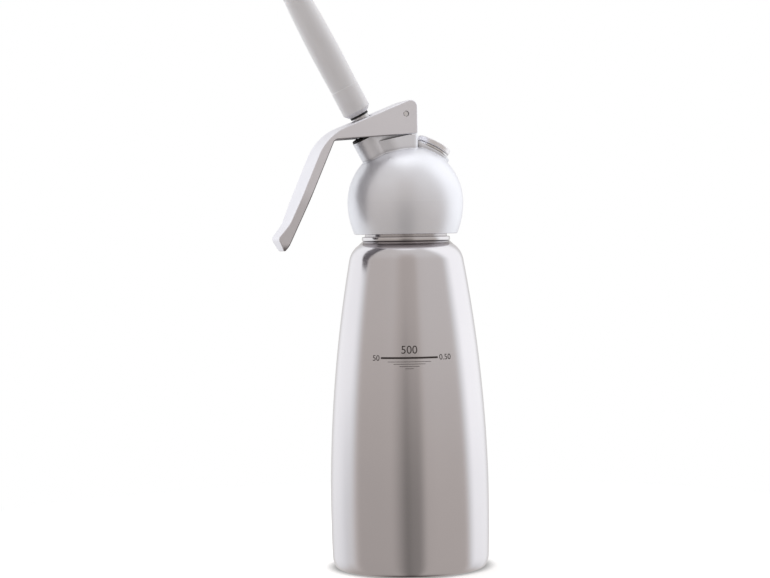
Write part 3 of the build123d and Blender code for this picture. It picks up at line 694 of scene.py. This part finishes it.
def moulded_ring(name, node, seat, edge, finish):
    """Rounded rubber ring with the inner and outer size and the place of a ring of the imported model."""
    home = seat.inverted()
    points = [home @ v.co for v in frame["nodes"][node].data.vertices]
    radii = [math.hypot(p.x, p.y) for p in points]
    ring = grow(
        name,
        ring_tree,
        Inner=min(radii),
        Outer=max(radii),
        Bottom=min(p.z for p in points),
        Top=max(p.z for p in points),
        Edge_Round=edge,
        Finish=finish,
    )
    ring.data.transform(seat)
    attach(ring, frame["nodes"][node]["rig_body"])
    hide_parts(node)


moulded_ring("rim_gasket", "head_gasket", upright_seat, 0.5 * mm, silicone)

# Head
# The head is a die-cast aluminium ball, turned round and then blasted to an even satin. Its saddle carries
# the lever's pin, and its two bosses the valve and the gas inlet.
ball_centre = Vector((0, 0, 188.979 * mm))
axis_lean = math.radians(28.3)
rim_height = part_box("head_dome")[0].z


def coat(finish, *names):
    """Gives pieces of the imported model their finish."""
    for name in names:
        slots = frame["nodes"][name].data.materials
        slots.clear()
        slots.append(finish)


# Blasted aluminium: a cool pale grey that blurs what it mirrors. The grain is drawn 0.8 mm wide. The creases
# are painted a dark grey, as painted shade from the head's own occlusion. The lower rim's face is painted a
# darker grey, as painted shade under the head, and is smoother, as faced on the lathe.
crease_shade_reach, rim_face = 3 * mm, 0.1 * mm
satin_aluminium, tree, shader = start_finish("blasted_cast_aluminium", {"Metallic": 0.65})
spot = add(tree, "ShaderNodeTexCoord").outputs["Object"]
grain = add(tree, "ShaderNodeTexNoise", {"Vector": spot, "Scale": 1 / (0.8 * mm), "Detail": 3.0})
cloud = add(tree, "ShaderNodeTexNoise", {"Vector": spot, "Scale": 1 / (14 * mm), "Detail": 2.0})
tone = add(
    tree,
    "ShaderNodeMix",
    {"Factor": cloud.outputs["Fac"], "A": linear("#f0f2f9"), "B": linear("#f5f7fe")},
    data_type="RGBA",
)
# Painted shade: occlusion within the head itself darkens its creases to a dark grey.
hollow = add(tree, "ShaderNodeAmbientOcclusion", {"Distance": crease_shade_reach}, samples=12, only_local=True)
open_sky = add(
    tree, "ShaderNodeMapRange", {"Value": hollow.outputs["AO"], "From Min": 0.55, "From Max": 0.9}
)
height = add(tree, "ShaderNodeSeparateXYZ", {"Vector": spot})
above_rim = add(
    tree, "ShaderNodeMath", {0: height.outputs["Z"], 1: rim_height + rim_face}, operation="GREATER_THAN"
)
film = add(
    tree,
    "ShaderNodeMix",
    {"Factor": open_sky.outputs["Result"], "A": linear("#4a484c"), "B": tone.outputs["Result"]},
    data_type="RGBA",
)
# Painted shade: the face below the rim is mixed to a darker grey.
under_rim_shade = add(
    tree,
    "ShaderNodeMix",
    {"Factor": above_rim.outputs["Value"], "A": linear("#d2ced0"), "B": film.outputs["Result"]},
    data_type="RGBA",
)
satin = add(
    tree,
    "ShaderNodeMapRange",
    {"Value": grain.outputs["Fac"], **noise_span, "To Min": 0.34, "To Max": 0.39},
)
sheen = add(
    tree, "ShaderNodeMix", {"Factor": above_rim.outputs["Value"], "A": 0.16, "B": satin.outputs["Result"]}
)
pitted = add(
    tree, "ShaderNodeBump", {"Height": grain.outputs["Fac"], "Strength": 0.04, "Distance": bump_depth}
)
tree.links.new(under_rim_shade.outputs["Result"], shader.inputs["Base Color"])
tree.links.new(sheen.outputs["Result"], shader.inputs["Roughness"])
tree.links.new(pitted.outputs["Normal"], shader.inputs["Normal"])
coat(satin_aluminium, "head_dome")

# Gas inlet
# A turned steel insert is screwed into the inlet boss over a rubber ring. It holds the hollow pin that
# pierces a gas charger, and a rubber sleeve on its nose is the check valve.
inlet_seat = Matrix.Translation(ball_centre) @ Matrix.Rotation(axis_lean, 4, "Y")
# Turned stainless steel of the inlet: a bright thin ring under the cap, with rings round the inlet's axis.
inlet_steel = turned_finish("turned_inlet_steel", "#d8d7d9", "#e3e2e4", 0.22, inlet_seat)
coat(inlet_steel, "inlet_insert", "piercing_pin")
# Pale silicone: a milky grey that hardly shows between the steel rims.
pale_silicone = rubber_finish("moulded_pale_silicone", "#b9b7b6", "#c6c4c3", 0.5)
moulded_ring("insert_seal", "inlet_seal", inlet_seat, 0.2 * mm, pale_silicone)
sleeve_low, sleeve_high, sleeve_open = 14.9 * mm, 19.8 * mm, 16.1 * mm
sleeve_outer, sleeve_inner, sleeve_round, sleeve_steps = 5.2 * mm, 4.0 * mm, 0.4 * mm, 64
check_sleeve = lathe(
    "check_valve_sleeve",
    [
        (0.0, sleeve_low),
        (sleeve_outer - sleeve_round, sleeve_low),
        (sleeve_outer, sleeve_low + sleeve_round),
        (sleeve_outer, sleeve_high - sleeve_round),
        (sleeve_outer - sleeve_round, sleeve_high),
        (sleeve_inner, sleeve_high),
        (sleeve_inner, sleeve_open),
        (0.0, sleeve_open),
    ],
    inlet_seat,
    silicone,
    steps=sleeve_steps,
)
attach(check_sleeve, "head")
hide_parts("check_valve")

# Inlet cap
# A low domed steel cap closes the gas inlet when no charger is on it. It is turned and screwed down on a
# rubber ring.

# Turned cap steel: satin rings round the middle of the dome.
cap_steel = turned_finish("turned_cap_steel", "#eeedf0", "#f6f5f8", 0.4, inlet_seat)
coat(cap_steel, "inlet_cap")
moulded_ring("cap_seal_ring", "inlet_cap_gasket", inlet_seat, 0.25 * mm, pale_silicone)

# Valve guide
# A white acetal bush guides the valve stem in the nozzle boss and holds a sealing ring, and a black dust
# ring covers the boss above it.
valve_seat = Matrix.Translation(ball_centre) @ Matrix.Rotation(-axis_lean, 4, "Y")
# Turned acetal: a waxy cream white.
acetal = turned_finish("turned_acetal", "#e3e1d8", "#ebe9e1", 0.4, valve_seat, metallic=0.0)
coat(acetal, "stem_guide")
# Black nitrile rubber: nearly black, with a dull sheen at a flat angle.
nitrile = rubber_finish("black_nitrile_rubber", "#101011", "#1b1b1c", 0.5)
moulded_ring("stem_seal_ring", "stem_oring", valve_seat, 0.9 * mm, nitrile)
moulded_ring("boss_dust_ring", "dust_ring", valve_seat, 0.3 * mm, nitrile)

# Valve stem
# The hollow stem is turned from steel. The lever presses its flange, a screw clamps a silicone disc to its
# lower end, and the nozzle is screwed on its upper end.

# Turned stem steel, with rings round the valve's axis. It is painted a little darker than the inlet's,
# as painted shade under the lever.
stem_steel = turned_finish("turned_stem_steel", "#c6c5c6", "#d6d5d6", 0.25, valve_seat)
coat(stem_steel, "valve_stem", "valve_seal_screw")
moulded_ring("valve_disc", "valve_seal", valve_seat, 0.3 * mm, silicone)

# Valve spring
# A coil spring of round steel wire stands on the guide and lifts the stem's flange. Its end coils are wound
# flat.
# The real spring shortens as the lever is pressed; this one keeps one length and rides with the head.
spring_wire, spring_radius = 0.6 * mm, 5.8 * mm
spring_low, spring_high = 33.624 * mm, 43.708 * mm
spring_coils, flat_share = 5.25, 0.13
spring_points, wire_sides = 360, 16
# Drawn spring steel: a darker grey with a faint mottle, drawn 1 mm wide, that breaks up its shine.
spring_steel, tree, shader = start_finish("drawn_spring_steel", {"Metallic": 1.0})
spot = add(tree, "ShaderNodeTexCoord").outputs["Object"]
drawn = add(tree, "ShaderNodeTexNoise", {"Vector": spot, "Scale": 1 / (1.0 * mm), "Detail": 4.0})
tone = add(
    tree,
    "ShaderNodeMix",
    {"Factor": drawn.outputs["Fac"], "A": linear("#a9a8aa"), "B": linear("#bdbcbe")},
    data_type="RGBA",
)
polish = add(
    tree,
    "ShaderNodeMapRange",
    {"Value": drawn.outputs["Fac"], **noise_span, "To Min": 0.24, "To Max": 0.36},
)
tree.links.new(tone.outputs["Result"], shader.inputs["Base Color"])
tree.links.new(polish.outputs["Result"], shader.inputs["Roughness"])
coil_tree, size = start_tree(
    "wound_spring",
    Wire="Float",
    Radius="Float",
    Coils="Float",
    Low="Float",
    High="Float",
    Flat_Share="Float",
)
curve, share, _, place = start_coil(coil_tree, spring_points, size["Coils"], size["Radius"])
rest = add(coil_tree, "ShaderNodeMath", {0: 1.0, 1: size["Flat Share"]}, operation="SUBTRACT")
climb = add(
    coil_tree,
    "ShaderNodeMapRange",
    {
        "Value": share,
        "From Min": size["Flat Share"],
        "From Max": rest.outputs["Value"],
        "To Min": size["Low"],
        "To Max": size["High"],
    },
)
wound = end_coil(coil_tree, curve, place, climb.outputs["Result"])
section = add(
    coil_tree, "GeometryNodeCurvePrimitiveCircle", {"Resolution": wire_sides, "Radius": size["Wire"]}
)
coil = add(
    coil_tree,
    "GeometryNodeCurveToMesh",
    {"Curve": wound, "Profile Curve": section.outputs["Curve"], "Fill Caps": True},
)
end_tree(coil_tree, coil.outputs["Mesh"], spring_steel)
spring = grow(
    "wound_valve_spring",
    coil_tree,
    Wire=spring_wire,
    Radius=spring_radius,
    Coils=spring_coils,
    Low=spring_low,
    High=spring_high,
    Flat_Share=flat_share,
)
spring.data.transform(valve_seat)
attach(spring, "head")
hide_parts("valve_spring")
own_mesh(spring)

# Lever and pin
# The lever is pressed from aluminium plate into a channel, tumbled to a soft satin, and turns on a steel pin
# that is pressed through the head's lug and has turned-down ends.

# Tumbled aluminium: duller than the head, with a grain that is drawn 1 mm wide. The inside of the grip,
# toward its handle, is painted a dark grey, as painted shade inside the channel.
inside_facing, painted_shade_start, painted_shade_full = (0.9, 0.0, -0.45), -6 * mm, -10 * mm
tumbled_aluminium, tree, shader = start_finish("tumbled_aluminium", {"Metallic": 1.0})
spot = add(tree, "ShaderNodeTexCoord").outputs["Object"]
grain = add(tree, "ShaderNodeTexNoise", {"Vector": spot, "Scale": 1 / (1.0 * mm), "Detail": 3.0})
cloud = add(tree, "ShaderNodeTexNoise", {"Vector": spot, "Scale": 1 / (12 * mm), "Detail": 2.0})
tone = add(
    tree,
    "ShaderNodeMix",
    {"Factor": cloud.outputs["Fac"], "A": linear("#f4f4fb"), "B": linear("#f9f9ff")},
    data_type="RGBA",
)
facing = add(
    tree,
    "ShaderNodeVectorMath",
    {0: add(tree, "ShaderNodeTexCoord").outputs["Normal"], 1: inside_facing},
    operation="DOT_PRODUCT",
)
inward = add(
    tree, "ShaderNodeMapRange", {"Value": facing.outputs["Value"], "From Min": 0.15, "From Max": 0.35}
)
across = add(tree, "ShaderNodeSeparateXYZ", {"Vector": spot})
ahead = add(
    tree,
    "ShaderNodeMapRange",
    {"Value": across.outputs["X"], "From Min": painted_shade_start, "From Max": painted_shade_full},
)
inside = add(
    tree, "ShaderNodeMath", {0: inward.outputs["Result"], 1: ahead.outputs["Result"]}, operation="MULTIPLY"
)
# Painted shade: inward faces of the channel toward the handle are mixed to a dark grey.
film = add(
    tree,
    "ShaderNodeMix",
    {"Factor": inside.outputs["Value"], "A": tone.outputs["Result"], "B": linear("#8f8b8d")},
    data_type="RGBA",
)
satin = add(
    tree,
    "ShaderNodeMapRange",
    {"Value": grain.outputs["Fac"], **noise_span, "To Min": 0.47, "To Max": 0.53},
)
pitted = add(
    tree, "ShaderNodeBump", {"Height": grain.outputs["Fac"], "Strength": 0.05, "Distance": bump_depth}
)
tree.links.new(film.outputs["Result"], shader.inputs["Base Color"])
tree.links.new(satin.outputs["Result"], shader.inputs["Roughness"])
tree.links.new(pitted.outputs["Normal"], shader.inputs["Normal"])
coat(tumbled_aluminium, "lever")
pin_low, pin_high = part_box("hinge_pin")
pin_seat = Matrix.Translation((pin_low + pin_high) / 2) @ Matrix.Rotation(math.pi / 2, 4, "X")
# Ground pin steel: bright and nearly mirror-smooth, with faint rings on its faced ends.
pin_steel = turned_finish("ground_pin_steel", "#dcdbdd", "#e8e7e9", 0.16, pin_seat)
coat(pin_steel, "hinge_pin")

# Nozzle
# The decorating nozzle is moulded in white polypropylene and screwed on the stem, down to a black rubber
# washer. Eight slots in its tip shape the cream.
moulded_ring("nozzle_seal_washer", "nozzle_washer", valve_seat, 0.3 * mm, nitrile)
# Moulded polypropylene: milky white, softly shiny, with a faint flow of the melt along it. The skin's grain
# is drawn 0.7 mm wide.
flow_width, flow_length = 3 * mm, 18 * mm
polypropylene, tree, shader = start_finish(
    "moulded_polypropylene",
    {
        "IOR": 1.49,
        "Subsurface Weight": 0.12,
        "Subsurface Radius": (1.0, 0.9, 0.8),
        "Subsurface Scale": 1.2 * mm,
    },
)
spot = seat_spot(tree, valve_seat)
drawn_out = add(
    tree,
    "ShaderNodeMapping",
    {"Vector": spot, "Scale": (1 / flow_width, 1 / flow_width, 1 / flow_length)},
)
flow = add(tree, "ShaderNodeTexNoise", {"Vector": drawn_out.outputs["Vector"], "Scale": 1.0, "Detail": 2.0})
skin = add(tree, "ShaderNodeTexNoise", {"Vector": spot, "Scale": 1 / (0.7 * mm), "Detail": 2.0})
tone = add(
    tree,
    "ShaderNodeMix",
    {"Factor": flow.outputs["Fac"], "A": linear("#dadade"), "B": linear("#e3e3e7")},
    data_type="RGBA",
)
gloss = add(
    tree,
    "ShaderNodeMapRange",
    {"Value": skin.outputs["Fac"], **noise_span, "To Min": 0.28, "To Max": 0.36},
)
tree.links.new(tone.outputs["Result"], shader.inputs["Base Color"])
tree.links.new(gloss.outputs["Result"], shader.inputs["Roughness"])
coat(polypropylene, "nozzle")

# Stage
# The object stands on white paper in a round light tent. The tent's front is a warm grey with a dark gap at
# the camera, a metre away and a little off the lever's side, and the metal mirrors it as soft stripes.
camera_azimuth, camera_distance, camera_height = math.radians(-17.0), 1.017, 0.172
camera_pan, camera_tilt, camera_roll = math.radians(0.635), math.radians(1.569), math.radians(-0.906)
camera_lens, camera_sensor = 91.59, 36.0


def fade(value, start, end):
    """Share from 0 to 1 as a value goes from start to end, soft at both."""
    share = min(1.0, max(0.0, (value - start) / (end - start)))
    return share * share * (3 - 2 * share)


tent_radius = 0.7
tent_columns, tent_rows = 180, 90
foot_grey, middle_grey, upper_grey, right_gain = 0.475, 0.6, 0.665, 0.05
side_white, right_extra, roof_white = 1.12, 0.06, 1.45
low_gap, high_gap, lens_shade = 0.46, 0.17, 0.18
low_side_loss, left_fold_loss, back_grey, under_loss = 0.12, 0.18, 0.72, 0.8
warm_level, neutral_level = 0.52, 0.8
# Angles in degrees, round the tent from the camera or up from it. Each pair is where one part runs into the
# next. The right side comes forward by one degree for each right_lean degrees up.
foot_to_middle, middle_to_upper, roof = (-25, 15), (15, 45), (68, 80)
sides_end, under_side = (22, 58), (60, 84)
gap_left, gap_right, gap_rise, gap_end = (-28, -4), (12, 26), (-18, 14), (40, 55)
lens_turn, lens_width, lens_end = -3, 5, (0, 12)
low_side, fold_turn, fold_width, fold_low, back = (4, 24), -100, 13, (0, 18), (138, 160)
gain_turn, left_side, right_side, right_lean = 40, (74, 101), (77, 103), 4


def tent_level(turn, height):
    """Brightness of the tent at an angle from the camera and above it, in degrees, where 1 is white paper."""
    grey = foot_grey + (middle_grey - foot_grey) * fade(height, *foot_to_middle)
    grey += (upper_grey - middle_grey) * fade(height, *middle_to_upper)
    grey *= 1 + right_gain * max(-1.0, min(1.0, turn / gain_turn))
    gap = (low_gap + (high_gap - low_gap) * fade(height, *gap_rise)) * (1 - fade(height, *gap_end))
    grey *= 1 - gap * fade(turn, *gap_left) * (1 - fade(turn, *gap_right))
    at_lens = math.exp(-(((turn - lens_turn) / lens_width) ** 2))
    grey *= 1 - lens_shade * at_lens * (1 - fade(height, *lens_end))
    white = side_white + right_extra * math.sin(math.radians(turn))
    white *= 1 - low_side_loss * fade(-height, *low_side)
    at_fold = math.exp(-(((turn - fold_turn) / fold_width) ** 2))
    white *= 1 - left_fold_loss * at_fold * fade(-height, *fold_low)
    white += (back_grey - white) * fade(abs(turn), *back)
    side = max(fade(-turn, *left_side), fade(turn + height / right_lean, *right_side))
    level = grey + (white - grey) * side * (1 - fade(-height, *sides_end))
    level *= 1 - under_loss * fade(-height, *under_side)
    return level + (roof_white - level) * fade(height, *roof)


tent_points, tent_levels, tent_faces = [], [], []
for row in range(tent_rows + 1):
    height = 180 * row / tent_rows - 90
    rise = camera_height + tent_radius * math.sin(math.radians(height))
    reach = tent_radius * math.cos(math.radians(height))
    for column in range(tent_columns + 1):
        turn = 360 * column / tent_columns - 180
        heading = camera_azimuth + math.radians(turn)
        tent_points.append((reach * math.sin(heading), -reach * math.cos(heading), rise))
        tent_levels.append(tent_level(turn, height))
for row in range(tent_rows):
    for column in range(tent_columns):
        first = row * (tent_columns + 1) + column
        tent_faces.append((first, first + 1, first + tent_columns + 2, first + tent_columns + 1))
tent_mesh = bpy.data.meshes.new("light_tent")
tent_mesh.from_pydata(tent_points, [], tent_faces)
tent_mesh.attributes.new("level", "FLOAT", "POINT").data.foreach_set("value", tent_levels)
# Tent cloth: a glow that is warm where it is grey and neutral where it is white.
tent_cloth, tree, _ = start_finish("tent_cloth", {})
tree.nodes.clear()
level = add(tree, "ShaderNodeAttribute", attribute_name="level")
white = add(
    tree,
    "ShaderNodeMapRange",
    {"Value": level.outputs["Fac"], "From Min": warm_level, "From Max": neutral_level},
)
tint = add(
    tree,
    "ShaderNodeMix",
    {"Factor": white.outputs["Result"], "A": linear("#fff5ed"), "B": linear("#ffffff")},
    data_type="RGBA",
)
glow = add(
    tree, "ShaderNodeEmission", {"Color": tint.outputs["Result"], "Strength": level.outputs["Fac"]}
)
add(tree, "ShaderNodeOutputMaterial", {"Surface": glow.outputs["Emission"]})
tent_mesh.materials.append(tent_cloth)
tent = new_piece("light_tent", tent_mesh)
tent.visible_camera = False

# Three soft lamps high in the tent brighten the plastic and the satin head. Metal mirrors only the tent.
# Each lamp: angle from the camera, distance from the axis and height in metres, and power in watts.
lamp_size, lamp_aim = 0.25, Vector((0, 0, 0.2))
for name, heading, distance, height, power in (
    ("left_lamp", math.radians(-108), 0.42, 0.5, 1.2),
    ("high_lamp", math.radians(-50), 0.26, 0.44, 0.12),
    ("right_lamp", math.radians(110), 0.45, 0.5, 0.7),
):
    bulb = bpy.data.lights.new(name, "AREA")
    bulb.shape = "SQUARE"
    bulb.size = lamp_size
    bulb.energy = power
    lamp = bpy.data.objects.new(name, bulb)
    turn = camera_azimuth + heading
    lamp.location = (distance * math.sin(turn), -distance * math.cos(turn), height)
    lamp.rotation_euler = (lamp_aim - lamp.location).to_track_quat("-Z", "Y").to_euler()
    lamp.visible_glossy = False
    bpy.context.scene.collection.objects.link(lamp)

floor_reach, floor_drop = 30.0, 0.05 * mm
paper_shaded, paper_white, paper_lift, contact_reach = 0.15, 0.35, 0.29, 6 * mm
floor_mesh = bpy.data.meshes.new("floor")
floor_mesh.from_pydata(
    [(x * floor_reach, y * floor_reach, -floor_drop) for x, y in ((-1, -1), (1, -1), (1, 1), (-1, 1))],
    [],
    [(0, 1, 2, 3)],
)
# White paper: it throws a soft grey light up on the object. To the eye it carries a painted contact shadow,
# grey close round the foot, and fades out to pure white.
floor_paper, tree, _ = start_finish("white_paper", {})
tree.nodes.clear()
rays = add(tree, "ShaderNodeLightPath")
paper = add(tree, "ShaderNodeBsdfDiffuse", {"Color": linear("#cccccc")})
# Painted shadow: occlusion greys the paper close round the foot.
contact = add(tree, "ShaderNodeAmbientOcclusion", {"Distance": contact_reach}, samples=16)
clear = add(tree, "ShaderNodeMapRange", {"Value": contact.outputs["AO"], "From Min": 0.35, "From Max": 0.95})
shade = add(
    tree,
    "ShaderNodeMix",
    {"Factor": clear.outputs["Result"], "A": linear("#707070"), "B": linear("#f2f2f2")},
    data_type="RGBA",
)
near_paper = add(tree, "ShaderNodeBsdfDiffuse", {"Color": shade.outputs["Result"]})
lift = add(tree, "ShaderNodeEmission", {"Color": (1, 1, 1, 1), "Strength": paper_lift})
seen = add(tree, "ShaderNodeAddShader", {0: near_paper.outputs["BSDF"], 1: lift.outputs["Emission"]})
reach = add(
    tree, "ShaderNodeVectorMath", {0: add(tree, "ShaderNodeTexCoord").outputs["Object"]}, operation="LENGTH"
)
far = add(
    tree,
    "ShaderNodeMapRange",
    {"Value": reach.outputs["Value"], "From Min": paper_shaded, "From Max": paper_white},
)
bright = add(tree, "ShaderNodeEmission", {"Color": (1, 1, 1, 1), "Strength": 1.0})
sweep = add(
    tree,
    "ShaderNodeMixShader",
    {"Fac": far.outputs["Result"], 1: seen.outputs["Shader"], 2: bright.outputs["Emission"]},
)
floor_mix = add(
    tree,
    "ShaderNodeMixShader",
    {"Fac": rays.outputs["Is Camera Ray"], 1: paper.outputs["BSDF"], 2: sweep.outputs["Shader"]},
)
add(tree, "ShaderNodeOutputMaterial", {"Surface": floor_mix.outputs["Shader"]})
floor_mesh.materials.append(floor_paper)
floor = new_piece("floor", floor_mesh)
floor.visible_glossy = False

studio = bpy.data.worlds.new("studio")
studio.use_nodes = True
studio.node_tree.nodes["Background"].inputs["Color"].default_value = (1, 1, 1, 1)
studio.node_tree.nodes["Background"].inputs["Strength"].default_value = 1.0
bpy.context.scene.world = studio

lens = bpy.data.cameras.new("camera")
lens.lens = camera_lens
lens.sensor_width = camera_sensor
camera = bpy.data.objects.new("camera", lens)
camera.location = (
    math.sin(camera_azimuth) * camera_distance,
    -math.cos(camera_azimuth) * camera_distance,
    camera_height,
)
camera.rotation_euler = (
    Matrix.Rotation(camera_azimuth + camera_pan, 3, "Z")
    @ Matrix.Rotation(math.pi / 2 - camera_tilt, 3, "X")
    @ Matrix.Rotation(camera_roll, 3, "Z")
).to_euler()
bpy.context.scene.collection.objects.link(camera)
bpy.context.scene.camera = camera
bpy.context.scene.view_settings.view_transform = "Standard"
